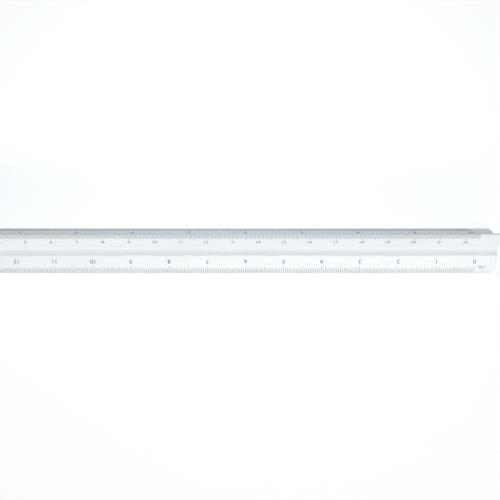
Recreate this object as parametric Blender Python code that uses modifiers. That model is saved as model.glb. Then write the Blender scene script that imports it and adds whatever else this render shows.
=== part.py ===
"""Triangular scale ruler: a laminated reduction scale with six graduated bevels on three lobes.

A hollow three-lobed core of white-lacquered light metal runs the whole length. Each of its six
bevels is a rebate that holds a plastic facing, located by a shoulder beside the channel and by a
tongue in a groove. The two facings of a lobe meet in a mitre at its tip. The three channels between
the lobes each have a dovetail slot with an inlaid strip in its floor, and a ribbed plug closes each
end of the bore.

Units are metres. The ruler runs along X and lies on its front and back lobes, with the third lobe
on top. The origin is under the middle of the ruler, on the surface that it lies on.

Two kinds of frame are used, both with local X along the ruler's axis and local Z pointing out:
a lobe frame, whose Z runs out through the lobe's tip, and a face frame, whose Z runs out through
the middle of a channel. Section points are (across, out) pairs in one of these frames.
"""

import math

import bmesh
import bpy
from mathutils import Vector

# Driving dimensions
LENGTH = 0.323
WIDTH = 0.0254
TIP_LAND = 0.0008
TIP_ROUNDING = 0.0003
BEVEL_TILT = math.radians(15)
BEVEL_WIDTH = 0.0101
CHANNEL_DEPTH = 0.0019
CHANNEL_WALL_SLOPE = math.radians(60)
END_CORNER_RADIUS = 0.0023

# Facings and their joint with the core
FACING_THICKNESS = 0.0012
GLUE_GAP = 0.00006
RIM_LIP = 0.0003
RIM_ROUNDING = 0.0001
TONGUE_START = 0.0080
TONGUE_WIDTH = 0.0010
TONGUE_HEIGHT = 0.0004
CORE_TIP_LAND = 0.0005

# Inlaid channel strips
STRIP_WIDTH = 0.0024
STRIP_UNDERCUT = 0.0002
STRIP_THICKNESS = 0.0006

# Bore and end plugs
BORE_RADIUS = 0.0016
BORE_STEPS = 32
PLUG_LENGTH = 0.009
PLUG_FIT = 0.00006
PLUG_RIB_HEIGHT = 0.00025
PLUG_RIBS = 3
PLUG_CHAMFER = 0.0003
PLUG_SETBACK = 0.0002

# Angles of a lobe, from the line out through its tip
LOBE_SPREAD = math.radians(120)
LOBE_HALF_ANGLE = math.radians(30) - BEVEL_TILT
FACE_NORMAL_ANGLE = LOBE_SPREAD / 2
WIDEST_ANGLE = math.radians(30)


def rounding_loss(direction):
    """How much less far a tip's rounded corner reaches in this direction than the sharp one."""
    corner_direction = (math.pi / 2 - LOBE_HALF_ANGLE) / 2
    reach = math.cos(direction - corner_direction) / math.cos(corner_direction)
    return TIP_ROUNDING * (reach - 1)


# Section geometry that follows from them. The sharp triangle is the one whose corners the tip
# lands cut off.
SHARP_SIDE = WIDTH + TIP_LAND + 2 * rounding_loss(WIDEST_ANGLE)
SHARP_RADIUS = SHARP_SIDE / math.sqrt(3)
FACE_DISTANCE = SHARP_RADIUS / 2
AXIS_HEIGHT = FACE_DISTANCE - rounding_loss(FACE_NORMAL_ANGLE)
TIP_RADIUS = SHARP_RADIUS - TIP_LAND * math.cos(math.radians(30))
SEAT_DEPTH = FACING_THICKNESS + GLUE_GAP
FACING_END = BEVEL_WIDTH - RIM_LIP - GLUE_GAP
RIM_HALF = SHARP_SIDE / 2 - TIP_LAND - BEVEL_WIDTH * math.cos(BEVEL_TILT)
FLOOR_HALF = RIM_HALF - CHANNEL_DEPTH / math.tan(CHANNEL_WALL_SLOPE)
FLOOR_DISTANCE = FACE_DISTANCE - BEVEL_WIDTH * math.sin(BEVEL_TILT) - CHANNEL_DEPTH

# Which way each lobe and each channel points, as a turn about X from straight up
LOBE_TURN = {"top": 0.0, "front": LOBE_SPREAD, "back": -LOBE_SPREAD}
FACE_TURN = {"front": LOBE_SPREAD / 2, "back": -LOBE_SPREAD / 2, "base": math.pi}

# Each facing: the lobe it is on, and the side of it (+1 or -1 along the lobe frame's Y)
FACINGS = {
    "facing_1_50": ("front", 1),
    "facing_1_20": ("front", -1),
    "facing_1_75": ("top", -1),
    "facing_1_100": ("top", 1),
    "facing_1_33": ("back", -1),
    "facing_1_25": ("back", 1),
}

# Turns that bring a flat outline's normal along the ruler, or across a lobe
ALONG_RULER = (math.pi / 2, 0.0, math.pi / 2)
ACROSS_LOBE = (math.pi / 2, 0.0, 0.0)

CUTTER_CLEARANCE = 0.003
END_CORNER_STEPS = 8
EDGE_STEPS = 4


def clear_scene():
    for obj in list(bpy.data.objects):
        bpy.data.objects.remove(obj, do_unlink=True)


def new_collection(name):
    collection = bpy.data.collections.new(name)
    bpy.context.scene.collection.children.link(collection)
    return collection


def principled(name, colour, roughness, metallic=0.0):
    material = bpy.data.materials.new(name)
    material.use_nodes = True
    shader = material.node_tree.nodes["Principled BSDF"]
    shader.inputs["Base Color"].default_value = (*colour, 1.0)
    shader.inputs["Roughness"].default_value = roughness
    shader.inputs["Metallic"].default_value = metallic
    return material


def frame_empty(name, turn, collection):
    """An empty on the ruler's middle axis, turned about X so that its Z points out."""
    empty = bpy.data.objects.new(name, None)
    empty.location = (0.0, 0.0, AXIS_HEIGHT)
    empty.rotation_euler = (turn, 0.0, 0.0)
    collection.objects.link(empty)
    return empty


def turned(point, angle):
    """A section point turned about the ruler's axis, the same way as frame_empty turns."""
    across, out = point
    return (
        across * math.cos(angle) - out * math.sin(angle),
        across * math.sin(angle) + out * math.cos(angle),
    )


def mirrored(outline):
    return [(-across, out) for across, out in reversed(outline)]


def on_bevel(along, depth=0.0):
    """The lobe-frame point this far from the tip along the +Y bevel, and this far below it."""
    return (
        TIP_LAND / 2 + along * math.sin(LOBE_HALF_ANGLE) - depth * math.cos(LOBE_HALF_ANGLE),
        TIP_RADIUS - along * math.cos(LOBE_HALF_ANGLE) - depth * math.sin(LOBE_HALF_ANGLE),
    )


def bevel_distance(across, depth):
    """How far along the bevel a plane this far below it comes this near the lobe's middle."""
    inset = depth * math.cos(LOBE_HALF_ANGLE) - TIP_LAND / 2 + across
    return inset / math.sin(LOBE_HALF_ANGLE)


def rounded(before, corner, after, radius):
    """The points of an arc that rounds the corner between two straight stretches."""
    corner = Vector(corner)
    back = (Vector(before) - corner).normalized()
    ahead = (Vector(after) - corner).normalized()
    half_angle = back.angle(ahead) / 2
    centre = corner + (back + ahead).normalized() * radius / math.sin(half_angle)
    start = corner + back * radius / math.tan(half_angle) - centre
    end = corner + ahead * radius / math.tan(half_angle) - centre
    spokes = [start.lerp(end, i / EDGE_STEPS) for i in range(EDGE_STEPS + 1)]
    return [tuple(centre + spoke.normalized() * radius) for spoke in spokes]


def facing_section():
    """A flat plate with a mitred, rounded tip edge, a square inner edge and a tongue behind."""
    middle = GLUE_GAP / 2
    mitre_foot = bevel_distance(middle, FACING_THICKNESS)
    tongue_end = TONGUE_START + TONGUE_WIDTH
    tongue_depth = FACING_THICKNESS + TONGUE_HEIGHT
    tip = (middle, TIP_RADIUS)
    return [
        tip,
        *rounded(tip, on_bevel(0.0), on_bevel(FACING_END), TIP_ROUNDING),
        on_bevel(FACING_END),
        on_bevel(FACING_END, FACING_THICKNESS),
        on_bevel(tongue_end, FACING_THICKNESS),
        on_bevel(tongue_end, tongue_depth),
        on_bevel(TONGUE_START, tongue_depth),
        on_bevel(TONGUE_START, FACING_THICKNESS),
        on_bevel(mitre_foot, FACING_THICKNESS),
    ]


def half_lobe_of_core():
    """The core's outline from its tip to the middle of the channel floor, on the +Y side."""
    groove_start = TONGUE_START - GLUE_GAP
    groove_end = TONGUE_START + TONGUE_WIDTH + GLUE_GAP
    groove_depth = SEAT_DEPTH + TONGUE_HEIGHT
    slot_half = STRIP_WIDTH / 2 + GLUE_GAP
    channel = [
        (-FLOOR_HALF, FLOOR_DISTANCE),
        (-slot_half, FLOOR_DISTANCE),
        (-slot_half - STRIP_UNDERCUT, FLOOR_DISTANCE - STRIP_THICKNESS - GLUE_GAP),
    ]
    channel = [turned(point, -LOBE_SPREAD / 2) for point in channel]
    shoulder = on_bevel(FACING_END + GLUE_GAP)
    rebate = [
        on_bevel(bevel_distance(CORE_TIP_LAND / 2, SEAT_DEPTH), SEAT_DEPTH),
        on_bevel(groove_start, SEAT_DEPTH),
        on_bevel(groove_start, groove_depth),
        on_bevel(groove_end, groove_depth),
        on_bevel(groove_end, SEAT_DEPTH),
        on_bevel(FACING_END + GLUE_GAP, SEAT_DEPTH),
        shoulder,
        *rounded(shoulder, on_bevel(BEVEL_WIDTH), channel[0], RIM_ROUNDING),
    ]
    return rebate + channel


def core_section():
    half = half_lobe_of_core()
    lobe = mirrored(half) + half
    return [turned(point, -i * LOBE_SPREAD) for i in range(3) for point in lobe]


def bore_section():
    steps = [math.tau * i / BORE_STEPS for i in range(BORE_STEPS)]
    return [(BORE_RADIUS * math.cos(a), BORE_RADIUS * math.sin(a)) for a in steps]


def strip_section():
    """A dovetail strip, flush with the channel floor, in the face frame."""
    top = STRIP_WIDTH / 2
    foot = top + STRIP_UNDERCUT
    base = FLOOR_DISTANCE - STRIP_THICKNESS
    return [(-top, FLOOR_DISTANCE), (-foot, base), (foot, base), (top, FLOOR_DISTANCE)]


def corner_waste(end):
    """What lies outside the rounded corner of a lobe's tip at one end, as (along, out) points."""
    centre_x = LENGTH / 2 - END_CORNER_RADIUS
    centre_out = TIP_RADIUS - END_CORNER_RADIUS
    far_x = LENGTH / 2 + CUTTER_CLEARANCE
    far_out = TIP_RADIUS + CUTTER_CLEARANCE
    angles = [math.pi / 2 * i / END_CORNER_STEPS for i in range(END_CORNER_STEPS + 1)]
    arc = [
        (
            centre_x + END_CORNER_RADIUS * math.sin(a),
            centre_out + END_CORNER_RADIUS * math.cos(a),
        )
        for a in angles
    ]
    outline = [*arc, (far_x, centre_out), (far_x, far_out), (centre_x, far_out)]
    return [(end * x, out) for x, out in outline]


def extrusion(name, outlines, length, turn):
    """A closed mesh of this length whose section is the outlines: an outer one and any holes."""
    curve = bpy.data.curves.new(name, "CURVE")
    curve.dimensions = "2D"
    curve.fill_mode = "BOTH"
    curve.extrude = length / 2
    for outline in outlines:
        spline = curve.splines.new("POLY")
        spline.points.add(len(outline) - 1)
        spline.use_cyclic_u = True
        for point, (x, y) in zip(spline.points, outline):
            point.co = (x, y, 0.0, 1.0)
    flat = bpy.data.objects.new(name + "_outline", curve)
    bpy.context.scene.collection.objects.link(flat)
    flat.rotation_euler = turn
    solid = as_mesh(name, flat)
    bpy.data.objects.remove(flat, do_unlink=True)
    return solid


def as_mesh(name, curve_object):
    bpy.context.view_layer.update()
    evaluated = curve_object.evaluated_get(bpy.context.evaluated_depsgraph_get())
    mesh = bpy.data.meshes.new_from_object(evaluated)
    mesh.name = name
    body = bmesh.new()
    body.from_mesh(mesh)
    bmesh.ops.remove_doubles(body, verts=body.verts, dist=1e-7)
    bmesh.ops.recalc_face_normals(body, faces=body.faces)
    body.to_mesh(mesh)
    body.free()
    solid = bpy.data.objects.new(name, mesh)
    solid.matrix_world = curve_object.matrix_world
    return solid


def add_part(solid, material, collection, parent=None):
    solid.data.materials.clear()
    solid.data.materials.append(material)
    solid.parent = parent
    collection.objects.link(solid)


def corner_cutters(lobes, cutters):
    """One hidden cutter for each end of each lobe's tip."""
    for lobe, empty in lobes.items():
        for end, word in ((-1, "left"), (1, "right")):
            name = f"{lobe}_{word}_corner_cutter"
            cutter = extrusion(name, [corner_waste(end)], WIDTH / 2, ACROSS_LOBE)
            cutter.parent = empty
            cutter.hide_render = True
            cutter.display_type = "WIRE"
            cutters.objects.link(cutter)


def facings(lobes, cutters, material, parts):
    for name, (lobe, side) in FACINGS.items():
        outline = facing_section()
        if side < 0:
            outline = mirrored(outline)
        facing = extrusion(name, [outline], LENGTH, ALONG_RULER)
        add_part(facing, material, parts, lobes[lobe])
        rounding = facing.modifiers.new("rounded_tip_corners", "BOOLEAN")
        rounding.operation = "DIFFERENCE"
        rounding.operand_type = "COLLECTION"
        rounding.collection = cutters


def core(material, parts, centre):
    body = extrusion("core_extrusion", [core_section(), bore_section()], LENGTH, ALONG_RULER)
    add_part(body, material, parts, centre)


def channel_strips(material, parts):
    for face, turn in FACE_TURN.items():
        empty = frame_empty(f"{face}_face_frame", turn, parts)
        name = f"{face}_channel_strip"
        strip = extrusion(name, [strip_section()], LENGTH, ALONG_RULER)
        add_part(strip, material, parts, empty)


def plug_profile():
    """Half of the plug's section as (radius, height), from the middle of its outer face down."""
    outer = BORE_RADIUS - PLUG_FIT
    waist = outer - PLUG_RIB_HEIGHT
    pitch = PLUG_LENGTH / (2 * PLUG_RIBS + 2)
    profile = [(0.0, 0.0), (outer - PLUG_CHAMFER, 0.0), (outer, -PLUG_CHAMFER)]
    for rib in range(PLUG_RIBS):
        top = -pitch * (2 * rib + 1.5)
        profile += [(outer, top), (waist, top), (outer, top - pitch), (outer, top - pitch * 1.2)]
    nose = -PLUG_LENGTH
    profile += [(waist, nose + PLUG_CHAMFER), (waist - PLUG_CHAMFER, nose), (0.0, nose)]
    return profile


def end_plugs(material, parts, centre):
    """Turned plugs whose Z points out of the bore at each end."""
    for end, word in ((-1, "left"), (1, "right")):
        name = f"{word}_end_plug"
        mesh = bpy.data.meshes.new(name)
        points = [(radius, 0.0, height) for radius, height in plug_profile()]
        edges = [(i, i + 1) for i in range(len(points) - 1)]
        mesh.from_pydata(points, edges, [])
        plug = bpy.data.objects.new(name, mesh)
        plug.location = (end * (LENGTH / 2 - PLUG_SETBACK), 0.0, 0.0)
        plug.rotation_euler = (0.0, end * math.pi / 2, 0.0)
        add_part(plug, material, parts, centre)
        turning = plug.modifiers.new("turning", "SCREW")
        turning.axis = "Z"
        turning.steps = BORE_STEPS
        turning.render_steps = BORE_STEPS
        turning.use_merge_vertices = True
        turning.merge_threshold = 1e-6
        turning.use_smooth_shade = True


def build():
    clear_scene()
    parts = new_collection("triangular_scale_ruler")
    cutters = new_collection("cutters")

    white_plastic = principled("white_facing_plastic", (0.86, 0.87, 0.88), 0.35)
    white_lacquer = principled("white_lacquered_metal", (0.84, 0.86, 0.87), 0.4)
    strip_plastic = principled("pale_strip_plastic", (0.86, 0.88, 0.89), 0.45)
    plug_plastic = principled("grey_plug_plastic", (0.45, 0.46, 0.48), 0.5)

    centre = frame_empty("ruler_axis", 0.0, parts)
    lobes = {
        lobe: frame_empty(f"{lobe}_lobe_frame", turn, parts)
        for lobe, turn in LOBE_TURN.items()
    }
    corner_cutters(lobes, cutters)
    core(white_lacquer, parts, centre)
    facings(lobes, cutters, white_plastic, parts)
    channel_strips(strip_plastic, parts)
    end_plugs(plug_plastic, parts, centre)


build()
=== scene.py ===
"""Looks of the triangular scale ruler: graduations, materials, studio and camera.

Everything is in metres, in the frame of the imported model. The core, facings, strips and plugs are
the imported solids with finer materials. The graduations are thin bars and numerals of ink, sunk into
the facings and placed from each facing's own outer face. Section distances are measured from the
ruler's axis, the line that runs through the middle of its section from end to end.
"""

import math
from typing import NamedTuple

import bmesh
import bpy
from mathutils import Matrix, Vector


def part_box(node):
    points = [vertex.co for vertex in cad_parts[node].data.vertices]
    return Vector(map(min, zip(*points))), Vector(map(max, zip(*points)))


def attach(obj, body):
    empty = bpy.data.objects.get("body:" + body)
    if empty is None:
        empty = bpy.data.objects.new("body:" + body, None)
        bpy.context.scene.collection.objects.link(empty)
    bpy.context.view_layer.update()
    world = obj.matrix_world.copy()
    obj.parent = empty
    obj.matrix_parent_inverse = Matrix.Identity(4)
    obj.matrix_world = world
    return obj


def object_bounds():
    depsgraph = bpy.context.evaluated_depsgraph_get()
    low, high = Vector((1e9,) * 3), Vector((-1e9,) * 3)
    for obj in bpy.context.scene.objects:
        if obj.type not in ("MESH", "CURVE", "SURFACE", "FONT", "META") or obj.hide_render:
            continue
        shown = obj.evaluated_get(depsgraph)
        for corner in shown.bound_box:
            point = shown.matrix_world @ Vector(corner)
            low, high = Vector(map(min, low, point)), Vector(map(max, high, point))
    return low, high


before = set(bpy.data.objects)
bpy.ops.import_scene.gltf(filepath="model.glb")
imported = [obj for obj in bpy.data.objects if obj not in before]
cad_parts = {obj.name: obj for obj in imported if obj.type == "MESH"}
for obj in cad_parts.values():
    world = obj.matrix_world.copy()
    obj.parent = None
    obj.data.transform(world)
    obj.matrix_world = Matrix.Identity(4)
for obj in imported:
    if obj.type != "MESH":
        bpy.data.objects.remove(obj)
cad_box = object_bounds()

MM = 0.001

# The section: its axis, the tips of the lobes, and the rims and floor corners of the channels
plug_low, plug_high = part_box("right_end_plug")
AXIS_HEIGHT = (plug_low.z + plug_high.z) / 2
TIP_RADIUS = cad_box[1][2] - AXIS_HEIGHT
RIM_RADIUS = 5.64 * MM
FLOOR_RADIUS = 3.45 * MM

# The facings' rounded tip edge, which every graduation line runs over
TIP_ROUNDING = 0.3 * MM
TIP_TURN = math.radians(75)
TIP_STEPS = 4

# A facing's flats: how far their normals may lean along the ruler, and how finely slopes are told apart
FLAT_LEAN = 0.01
SLOPE_DIGITS = 2

# Graduations. Every scale is 300 mm long and centred on the ruler.
SCALE_LENGTH = 300 * MM
COUNT_SLACK = 0.01  # of a step, so that rounding can't lose a scale's last mark
LINE_WIDTH = 0.17 * MM
LINE_STEP = 0.45 * MM  # how much longer the lines of each coarser division are
INK_SUNK = 0.03 * MM
INK_PROUD = 0.01 * MM
MERGE_DISTANCE = 0.0001 * MM
NUMERAL_BOLDNESS = 0.001  # of a numeral's size
NUMERAL_SMOOTHNESS = 5
DIGIT_HEIGHT = 0.729  # of Blender's own font, at size 1
MARK_HEIGHT = 1.7 * MM
MARK_MIDDLE = 2.9 * MM  # from the tip edge
MARK_OFFSET = 4.2 * MM  # from the scale's zero


class Scale(NamedTuple):
    ratio: float  # what it reduces by
    mark: str  # its ratio, as marked beside its zero
    finest: float  # length of its finest lines, from the tip edge inwards
    numeral: float  # height of its numerals
    middle: float  # distance from the tip edge to the numerals' middle
    divisions: tuple  # metres in the drawing between lines, up to the numbered ones


SCALES = {
    "facing_1_50": Scale(50, "1:50", 2.1 * MM, 2.3 * MM, 6.0 * MM, (0.05, 0.1, 0.5, 1.0)),
    "facing_1_75": Scale(75, "1:75", 2.8 * MM, 2.0 * MM, 5.8 * MM, (0.05, 0.1, 0.5, 1.0)),
    "facing_1_33": Scale(100 / 3, "1:33 1/3", 3.5 * MM, 2.5 * MM, 6.1 * MM, (0.02, 0.1, 0.5, 1.0)),
    "facing_1_100": Scale(100, "1:100", 2.4 * MM, 2.2 * MM, 6.0 * MM, (0.1, 0.5, 1.0)),
    "facing_1_20": Scale(20, "1:20", 2.4 * MM, 2.2 * MM, 6.0 * MM, (0.02, 0.1, 0.5)),
    "facing_1_25": Scale(25, "1:25", 2.4 * MM, 2.2 * MM, 6.0 * MM, (0.02, 0.1, 0.5)),
}

# Colours, linear. A pair is the two tones that a surface wanders between.
FACING_TONES = ((0.80, 0.845, 0.878), (0.85, 0.89, 0.918))
SCUFFED_FACING = (0.7, 0.72, 0.735)
SAWN_FACING = (0.78, 0.79, 0.78)
SPECK = (0.55, 0.55, 0.53)
RUBBED_TIP = (0.72, 0.72, 0.71)
# Painted shade: the much darker edge tone of the two tips that the ruler lies on
FLOOR_TIP_SHADE = (0.45, 0.45, 0.44)
LACQUER_TONES = ((0.88, 0.91, 0.935), (0.9, 0.93, 0.95))
WORN_LACQUER = (0.62, 0.64, 0.66)
# Painted shade on the channels' walls
WALL_SHADE_TONE = (0.66, 0.675, 0.69)
BARE_METAL = (0.74, 0.75, 0.77)
STRIP_TONES = ((0.85, 0.885, 0.91), (0.875, 0.908, 0.93))
DUST = (0.6, 0.61, 0.61)
PLUG_TONES = ((0.4, 0.41, 0.43), (0.45, 0.46, 0.48))
INK_TONES = ((0.085, 0.07, 0.06), (0.035, 0.028, 0.024))
FLOOR_COLOR = (0.84, 0.85, 0.86, 1.0)
WHITE_GLOW = (1.0, 1.0, 1.0, 1.0)
WALL_GLOW = (0.78, 0.79, 0.79, 1.0)
SKY_GLOW = (0.84, 0.94, 1.0, 1.0)
BLACK = (0.0, 0.0, 0.0, 1.0)

# Where wear, dirt and painted shade lie, across the section
WORN_TIP = 0.6 * MM
WORN_RIM = 0.25 * MM
# Painted shade on the channels' walls fades in between these two, and holds out to the rims
WALL_SHADE_FROM = 0.6 * MM  # above the channel floor's corners
WALL_SHADE_TO = 1.2 * MM
DUSTY_EDGE = 0.25 * MM
# Tips below the first height get painted contact shade, which fades out by the second
RESTING_BELOW = 2 * MM  # height above the floor under which a tip is one that the ruler lies on
CLEAR_ABOVE = 4 * MM

# The studio, in metres and degrees
FLOOR_SIZE = 60.0
FLOOR_EMISSION = 0.35
WALL_RADIUS = 10.0
WALL_HEIGHT = 6.0
WALL_SIDES = 96
SKY_STRENGTH = 0.14
SUN_DISTANCE = 2.0
WARM_SUN = (1.0, 0.985, 0.965)
WARM_CARD = (1.0, 0.98, 0.95)
COOL_CARD = (0.86, 0.95, 1.0)

# Camera: a long view from the front and well above, aimed right of the ruler's middle, so that
# the left end is outside the picture
CAMERA_ELEVATION = 67.06
CAMERA_DISTANCE = 0.460
CAMERA_LENS_MM = 62.3
CAMERA_CLIP = (0.01, 100.0)
CAMERA_AIM = Vector((32.4 * MM, 0.0, 1.12 * MM))


# ---------------------------------------------------------------- graduations


def outer_face(node):
    """The polygons of a facing's largest flat that looks away from the ruler's axis."""
    slopes = {}
    for face in node.data.polygons:
        outward = Vector((0.0, face.center.y, face.center.z - AXIS_HEIGHT))
        if abs(face.normal.x) < FLAT_LEAN and face.normal.dot(outward) > 0:
            slope = tuple(round(c, SLOPE_DIGITS) for c in face.normal)
            slopes.setdefault(slope, []).append(face)
    return max(slopes.values(), key=lambda group: sum(face.area for face in group))


def bevel_frame(node):
    """A facing's outer face as a matrix: X is the reading direction, Y points to the tip edge and
    Z out of the face. The origin is on the tip edge, half-way along the ruler."""
    faces = outer_face(node)
    along = Vector((1.0, 0.0, 0.0))
    normal = sum((face.normal * face.area for face in faces), Vector())
    normal = (normal - along * normal.x).normalized()
    to_tip = normal.cross(along)
    if to_tip.dot(faces[0].center - Vector((faces[0].center.x, 0.0, AXIS_HEIGHT))) < 0:
        to_tip.negate()
    corners = [node.data.vertices[i].co for face in faces for i in face.vertices]
    edge = max(corners, key=lambda corner: corner.dot(to_tip))
    turn = Matrix((to_tip.cross(normal), to_tip, normal)).transposed().to_4x4()
    return Matrix.Translation((0.0, edge.y, edge.z)) @ turn


def line_path(length):
    """A line's course in a bevel's frame: (point, outward direction, how proud) from its inner
    end, out over the flat and round the tip edge, where the ink thins out to nothing."""
    out = Vector((0.0, 0.0, 1.0))
    path = [(Vector((0.0, -length, 0.0)), out, INK_PROUD)]
    for i in range(TIP_STEPS + 1):
        turn = TIP_TURN * i / TIP_STEPS
        spoke = Vector((0.0, math.sin(turn), math.cos(turn)))
        path.append((TIP_ROUNDING * (spoke - out), spoke, INK_PROUD * (1 - i / TIP_STEPS)))
    return path


def add_line(body, bevel, x, length):
    """One graduation line: a thin bar of ink along its path, sunk into the face."""
    rings = []
    for point, out, proud in line_path(length):
        corners = ((-0.5, -INK_SUNK), (0.5, -INK_SUNK), (0.5, proud), (-0.5, proud))
        ring = [
            Vector((x + side * LINE_WIDTH, 0.0, 0.0)) + point + out * level
            for side, level in corners
        ]
        rings.append([body.verts.new(bevel @ corner) for corner in ring])
    for near, far in zip(rings, rings[1:]):
        for i in range(4):
            body.faces.new((near[i], near[i - 1], far[i - 1], far[i]))
    body.faces.new(rings[0])
    body.faces.new(reversed(rings[-1]))


def add_text(body, bevel, text, x, y, height):
    """Numerals whose ink is centred on a point of the face, as thin solids sunk into it."""
    curve = bpy.data.curves.new("numeral", "FONT")
    curve.body = text
    curve.resolution_u = NUMERAL_SMOOTHNESS
    curve.extrude = (INK_SUNK + INK_PROUD) / 2
    curve.size = height / DIGIT_HEIGHT
    curve.offset = NUMERAL_BOLDNESS * curve.size
    holder = bpy.data.objects.new("numeral", curve)
    bpy.context.scene.collection.objects.link(holder)
    bpy.context.view_layer.update()
    graph = bpy.context.evaluated_depsgraph_get()
    mesh = bpy.data.meshes.new_from_object(holder.evaluated_get(graph))
    reach = [vertex.co.x for vertex in mesh.vertices]
    left = x - (min(reach) + max(reach)) / 2
    middle = Vector((left, y - height / 2, INK_PROUD - curve.extrude))
    mesh.transform(bevel @ Matrix.Translation(middle))
    body.from_mesh(mesh)
    bpy.data.objects.remove(holder)
    bpy.data.curves.remove(curve)
    bpy.data.meshes.remove(mesh)


def mark_count(step):
    """How many marks a step apart fit on a scale, from its zero to its end."""
    return int(SCALE_LENGTH / step + COUNT_SLACK) + 1


def line_positions(scale):
    """{distance from zero: line length} of a scale. A longer line wins where two divisions meet."""
    lines = {}
    for rank, metres in enumerate(scale.divisions):
        step = metres / scale.ratio
        for i in range(mark_count(step)):
            lines[round(i * step, 7)] = scale.finest + rank * LINE_STEP
    return lines


def graduate(name, ink):
    """The ink of one facing: its lines, numerals and ratio mark, as one piece."""
    scale = SCALES[name]
    bevel = bevel_frame(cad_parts[name])
    zero = -SCALE_LENGTH / 2
    body = bmesh.new()
    for distance, length in line_positions(scale).items():
        add_line(body, bevel, zero + distance, length)
    numbered = scale.divisions[-1]
    for i in range(mark_count(numbered / scale.ratio)):
        x = zero + i * numbered / scale.ratio
        add_text(body, bevel, f"{i * numbered:g}", x, -scale.middle, scale.numeral)
    add_text(body, bevel, scale.mark, zero - MARK_OFFSET, -MARK_MIDDLE, MARK_HEIGHT)
    bmesh.ops.remove_doubles(body, verts=body.verts, dist=MERGE_DISTANCE)
    bmesh.ops.recalc_face_normals(body, faces=body.faces)
    mesh = bpy.data.meshes.new(name.replace("facing", "graduations"))
    body.to_mesh(mesh)
    body.free()
    mesh.materials.append(ink)
    piece = bpy.data.objects.new(mesh.name, mesh)
    bpy.context.scene.collection.objects.link(piece)
    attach(piece, "root")


# ------------------------------------------------------------------ materials


class Surface:
    """A material being made: its Principled shader, and short ways to feed it. Patterns follow the
    point on the object, in metres."""

    def __init__(self, name):
        self.material = bpy.data.materials.new(name)
        self.material.use_nodes = True
        self.tree = self.material.node_tree
        self.shader = self.tree.nodes["Principled BSDF"]
        coordinates = self.node("TexCoord")
        self.point = coordinates.outputs["Object"]
        self.normal = coordinates.outputs["Normal"]

    def node(self, kind, **settings):
        made = self.tree.nodes.new("ShaderNode" + kind)
        for setting, value in settings.items():
            setattr(made, setting, value)
        return made

    def feed(self, socket, value):
        """Put a fixed value or another node's output into a socket."""
        if isinstance(value, bpy.types.NodeSocket):
            self.tree.links.new(value, socket)
        else:
            socket.default_value = value

    def finish(self, **inputs):
        """Feed the shader's inputs, named in lower case, and give the material."""
        for name, value in inputs.items():
            self.feed(self.shader.inputs[name.replace("_", " ").title()], value)
        return self.material

    def math(self, operation, *values):
        made = self.node("Math", operation=operation)
        for socket, value in zip(made.inputs, values):
            self.feed(socket, value)
        return made.outputs[0]

    def times(self, first, second):
        return self.math("MULTIPLY", first, second)

    def plus(self, first, second):
        return self.math("ADD", first, second)

    def span(self, value, low, high, start=0.0, end=1.0):
        """What runs from start to end while value runs from low to high, and stays there."""
        made = self.node("MapRange")
        for socket, given in zip(made.inputs, (value, low, high, start, end)):
            self.feed(socket, given)
        return made.outputs[0]

    def noise(self, grain, stretch=(1.0, 1.0, 1.0), detail=2.0):
        """Noise from 0 to 1 whose grains measure about grain metres, times stretch."""
        spread = self.node("Mapping")
        self.feed(spread.inputs["Vector"], self.point)
        spread.inputs["Scale"].default_value = [1.0 / (grain * by) for by in stretch]
        made = self.node("TexNoise")
        self.feed(made.inputs["Vector"], spread.outputs[0])
        made.inputs["Scale"].default_value = 1.0
        made.inputs["Detail"].default_value = detail
        return self.span(made.outputs[0], 0.3, 0.7)

    def blend(self, factor, first, second):
        """The first colour where factor is 0, running to the second where it is 1. The sockets are
        taken by number because those of the node's other types share their names."""
        made = self.node("Mix", data_type="RGBA")
        self.feed(made.inputs["Factor"], factor)
        for socket, color in zip(made.inputs[6:8], (first, second)):
            self.feed(socket, color if isinstance(color, bpy.types.NodeSocket) else (*color, 1.0))
        return made.outputs[2]

    def bump(self, height, depth, under=None):
        """The normal of a relief whose height, from 0 to 1, stands for depth metres."""
        made = self.node("Bump")
        made.inputs["Distance"].default_value = depth
        self.feed(made.inputs["Height"], height)
        if under:
            self.feed(made.inputs["Normal"], under)
        return made.outputs[0]

    def height(self):
        parts = self.node("SeparateXYZ")
        self.feed(parts.inputs[0], self.point)
        return parts.outputs["Z"]

    def from_axis(self):
        """Distance from the ruler's axis."""
        across = self.node("Mapping")
        self.feed(across.inputs["Vector"], self.point)
        across.inputs["Location"].default_value = (0.0, 0.0, -AXIS_HEIGHT)
        across.inputs["Scale"].default_value = (0.0, 1.0, 1.0)
        made = self.node("VectorMath", operation="LENGTH")
        self.feed(made.inputs[0], across.outputs[0])
        return made.outputs["Value"]

    def cut_end(self):
        """1 on the sawn ends and 0 on the long sides."""
        parts = self.node("SeparateXYZ")
        self.feed(parts.inputs[0], self.normal)
        return self.span(self.math("ABSOLUTE", parts.outputs[0]), 0.8, 0.95)


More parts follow.
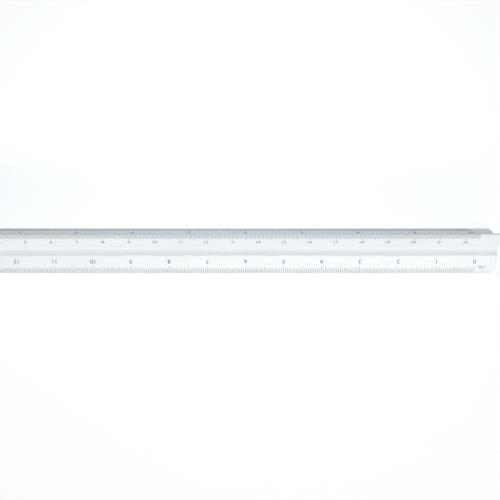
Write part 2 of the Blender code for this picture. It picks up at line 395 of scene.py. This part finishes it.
def facing_plastic():
    """Polished white plastic: faint clouds, polishing lines, scuffs along it and a few specks,
    duller sawn ends, and tip edges that use has roughened and greyed; on the two tips that the
    ruler lies on, painted contact shade darkens the edge much further."""
    look = Surface("white_facing_plastic")
    clouds = look.noise(14 * MM, (3.0, 1.0, 1.0), detail=3.0)
    scuffs = look.span(look.noise(0.3 * MM, (45.0, 1.0, 1.0), detail=3.0), 0.72, 1.0, 0.0, 0.5)
    specks = look.times(look.noise(0.35 * MM, detail=1.0), look.noise(2.5 * MM))
    specks = look.span(specks, 0.92, 1.0, 0.0, 0.45)
    edge = look.span(look.from_axis(), TIP_RADIUS - WORN_TIP, TIP_RADIUS)
    rubs = look.span(look.noise(0.9 * MM, (5.0, 1.0, 1.0)), 0.0, 1.0, 0.65, 1.0)
    wear = look.times(edge, rubs)
    # Painted contact shade: 1 on the two tips down at the floor, 0 on the top one
    contact_shade = look.span(look.height(), RESTING_BELOW, CLEAR_ABOVE, 1.0, 0.0)
    cut = look.cut_end()

    color = look.blend(clouds, *FACING_TONES)
    color = look.blend(scuffs, color, SCUFFED_FACING)
    color = look.blend(specks, color, SPECK)
    # Tip edges greyed by wear, and much darker still with painted shade on the two floor tips
    color = look.blend(wear, color, look.blend(contact_shade, RUBBED_TIP, FLOOR_TIP_SHADE))
    color = look.blend(look.times(cut, 0.5), color, SAWN_FACING)

    lines = look.noise(0.16 * MM, (60.0, 1.0, 1.0))
    roughness = look.span(lines, 0.0, 1.0, 0.15, 0.21)
    for mark, duller in ((wear, 0.2), (scuffs, 0.2), (cut, 0.25)):
        roughness = look.plus(roughness, look.times(mark, duller))

    saw = look.times(look.noise(0.12 * MM, (1.0, 40.0, 1.0)), cut)
    relief = look.bump(lines, 0.0004 * MM)
    relief = look.bump(saw, 0.01 * MM, relief)
    return look.finish(base_color=color, roughness=roughness, normal=relief)


def core_metal():
    """White lacquer over light metal: a trace of orange peel, a band of painted shade on the
    channels' walls, lacquer thinned by wear on their rims, and bare sawn metal at the ends."""
    look = Surface("white_lacquered_light_metal")
    clouds = look.noise(9 * MM, (3.0, 1.0, 1.0), detail=3.0)
    patches = look.noise(1.2 * MM, (6.0, 1.0, 1.0))
    radius = look.from_axis()
    rim = look.span(radius, RIM_RADIUS - WORN_RIM, RIM_RADIUS)
    thin = look.times(rim, look.span(patches, 0.3, 1.0, 0.0, 0.5))
    # Painted shade: a mottled band over the channels' outer walls, up to the rims
    wall = look.span(radius, FLOOR_RADIUS + WALL_SHADE_FROM, FLOOR_RADIUS + WALL_SHADE_TO, 0.0, 0.18)
    wall_shade = look.times(wall, look.span(patches, 0.0, 1.0, 0.6, 1.0))
    cut = look.cut_end()

    color = look.blend(clouds, *LACQUER_TONES)
    color = look.blend(thin, color, WORN_LACQUER)
    # Painted shade on the channels' walls
    color = look.blend(wall_shade, color, WALL_SHADE_TONE)
    color = look.blend(cut, color, BARE_METAL)

    roughness = look.span(look.noise(2 * MM), 0.0, 1.0, 0.36, 0.44)
    roughness = look.plus(roughness, look.times(cut, -0.08))
    saw = look.times(look.noise(0.1 * MM, (1.0, 40.0, 1.0)), cut)
    relief = look.bump(look.noise(0.7 * MM), 0.0015 * MM)
    relief = look.bump(saw, 0.012 * MM, relief)
    return look.finish(base_color=color, roughness=roughness, metallic=cut, normal=relief)


def strip_plastic():
    """Satin plastic strip: drawn lines along it, and dust along its two edges."""
    look = Surface("pale_strip_plastic")
    clouds = look.noise(7 * MM, (5.0, 1.0, 1.0), detail=3.0)
    edge = look.span(look.from_axis(), FLOOR_RADIUS - DUSTY_EDGE, FLOOR_RADIUS)
    dust = look.times(edge, look.noise(0.8 * MM, (6.0, 1.0, 1.0)))
    color = look.blend(clouds, *STRIP_TONES)
    color = look.blend(look.times(dust, 0.3), color, DUST)
    lines = look.noise(0.14 * MM, (80.0, 1.0, 1.0))
    roughness = look.span(lines, 0.0, 1.0, 0.4, 0.5)
    return look.finish(base_color=color, roughness=roughness, normal=look.bump(lines, 0.002 * MM))


def plug_plastic():
    """Moulded grey plastic with a fine spark-eroded grain."""
    look = Surface("grey_plug_plastic")
    color = look.blend(look.noise(0.6 * MM, detail=4.0), *PLUG_TONES)
    grain = look.noise(0.07 * MM, detail=1.0)
    roughness = look.span(grain, 0.0, 1.0, 0.46, 0.58)
    return look.finish(base_color=color, roughness=roughness, normal=look.bump(grain, 0.006 * MM))


def engraving_ink():
    """Matt ink, laid unevenly and a little warm in tone."""
    look = Surface("engraving_ink")
    density = look.noise(0.25 * MM, detail=3.0)
    color = look.blend(density, *INK_TONES)
    roughness = look.span(density, 0.0, 1.0, 0.7, 0.5)
    return look.finish(base_color=color, roughness=roughness, normal=look.bump(density, 0.004 * MM))


# --------------------------------------------------------------------- studio


def add_floor():
    bpy.ops.mesh.primitive_plane_add(size=FLOOR_SIZE)
    floor = bpy.context.object
    floor.name = "studio_floor"
    look = Surface("white_floor")
    floor.data.materials.append(
        look.finish(
            base_color=FLOOR_COLOR,
            roughness=0.9,
            emission_color=WHITE_GLOW,
            emission_strength=FLOOR_EMISSION,
        )
    )


def add_wall():
    """A plain round wall that fills the picture above the floor in low views. It only shows: it
    gives no light, shadow or reflection."""
    shape = bmesh.new()
    bmesh.ops.create_cone(
        shape,
        segments=WALL_SIDES,
        radius1=WALL_RADIUS,
        radius2=WALL_RADIUS,
        depth=WALL_HEIGHT,
        matrix=Matrix.Translation((0.0, 0.0, WALL_HEIGHT / 2)),
    )
    mesh = bpy.data.meshes.new("studio_wall")
    shape.to_mesh(mesh)
    shape.free()
    look = Surface("pale_wall")
    mesh.materials.append(
        look.finish(
            base_color=BLACK,
            roughness=1.0,
            emission_color=WALL_GLOW,
            emission_strength=1.0,
        )
    )
    wall = bpy.data.objects.new("studio_wall", mesh)
    bpy.context.scene.collection.objects.link(wall)
    wall.visible_diffuse = False
    wall.visible_glossy = False
    wall.visible_shadow = False


def towards(elevation, azimuth):
    """Direction from the ruler to a light or camera. Azimuth 0 is in front of it, 180 behind."""
    a, e = math.radians(azimuth), math.radians(elevation)
    return Vector((math.sin(a) * math.cos(e), -math.cos(a) * math.cos(e), math.sin(e)))


def place(name, data, elevation, azimuth, distance):
    """Add a light or camera that faces the camera's aim from a distance."""
    holder = bpy.data.objects.new(name, data)
    bpy.context.scene.collection.objects.link(holder)
    back = towards(elevation, azimuth)
    holder.location = CAMERA_AIM + back * distance
    holder.rotation_mode = "QUATERNION"
    holder.rotation_quaternion = (-back).to_track_quat("-Z", "Y")
    return holder


def add_soft_sun(name, elevation, azimuth, width, irradiance, color):
    """An even light over the whole floor, as wide in the sky as its width in degrees."""
    light = bpy.data.lights.new(name, "SUN")
    light.angle = math.radians(width)
    light.color = color
    light.energy = irradiance
    place(name, light, elevation, azimuth, SUN_DISTANCE)


def add_card(name, elevation, azimuth, distance, size, radiance, color):
    """A soft rectangular light."""
    light = bpy.data.lights.new(name, "AREA")
    light.shape = "RECTANGLE"
    light.size, light.size_y = size
    light.color = color
    light.energy = radiance * math.pi * light.size * light.size_y
    place(name, light, elevation, azimuth, distance)


def light_studio():
    world = bpy.data.worlds.new("studio")
    world.use_nodes = True
    sky = world.node_tree.nodes["Background"]
    sky.inputs["Color"].default_value = SKY_GLOW
    sky.inputs["Strength"].default_value = SKY_STRENGTH
    bpy.context.scene.world = world
    add_soft_sun(
        "overhead",
        elevation=64.0,
        azimuth=0.0,
        width=12.0,
        irradiance=1.46,
        color=WARM_SUN,
    )
    add_card(
        "front_card",
        elevation=22.0,
        azimuth=14.0,
        distance=1.05,
        size=(1.5, 0.15),
        radiance=5.4,
        color=WARM_CARD,
    )
    add_card(
        "back",
        elevation=60.0,
        azimuth=184.0,
        distance=0.24,
        size=(0.06, 0.02),
        radiance=43.0,
        color=COOL_CARD,
    )


def add_camera():
    data = bpy.data.cameras.new("camera")
    data.lens = CAMERA_LENS_MM
    data.clip_start, data.clip_end = CAMERA_CLIP
    bpy.context.scene.camera = place("camera", data, CAMERA_ELEVATION, 0.0, CAMERA_DISTANCE)


# ------------------------------------------------------------------- assembly


def finish_nodes():
    """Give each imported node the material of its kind."""
    finishes = {
        "facing": facing_plastic(),
        "core": core_metal(),
        "channel": strip_plastic(),
        "plug": plug_plastic(),
    }
    for name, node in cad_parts.items():
        kind = next(kind for kind in finishes if kind in name)
        for slot in node.material_slots:
            slot.material = finishes[kind]


def main():
    add_camera()
    finish_nodes()
    ink = engraving_ink()
    for name in SCALES:
        graduate(name, ink)
    add_floor()
    add_wall()
    light_studio()
    bpy.context.scene.view_settings.view_transform = "Standard"


main()
